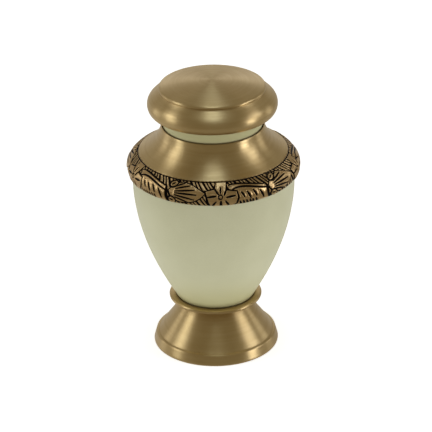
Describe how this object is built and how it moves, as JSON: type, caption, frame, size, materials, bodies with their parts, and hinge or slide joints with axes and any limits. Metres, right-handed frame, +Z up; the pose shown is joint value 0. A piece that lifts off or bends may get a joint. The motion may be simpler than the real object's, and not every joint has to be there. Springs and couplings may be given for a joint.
{
  "type": "keepsake cremation urn",
  "caption": "Small lidded memorial urn: hollow enamelled vessel on a flared brass foot, with a brass mantle whose rolled band is engraved, and a domed lift-off lid.",
  "frame": {"origin": "centre of the ring on which the foot stands", "axes": "+Z up along the axis of turning; the picture looks along +Y, with +X to the right"},
  "size_m": [0.0452, 0.0452, 0.0757],
  "materials": {
    "foot_brass": "satin, brushed round",
    "enamel": "satin cream enamel",
    "mantle_brass": "satin, brushed round, engraved and blackened band",
    "lid_brass": "satin, brushed round"
  },
  "bodies": {
    "root": {"foot": "foot_brass", "vessel": "enamel", "mantle": "mantle_brass", "lid": "lid_brass"}
  },
  "joints": []
}
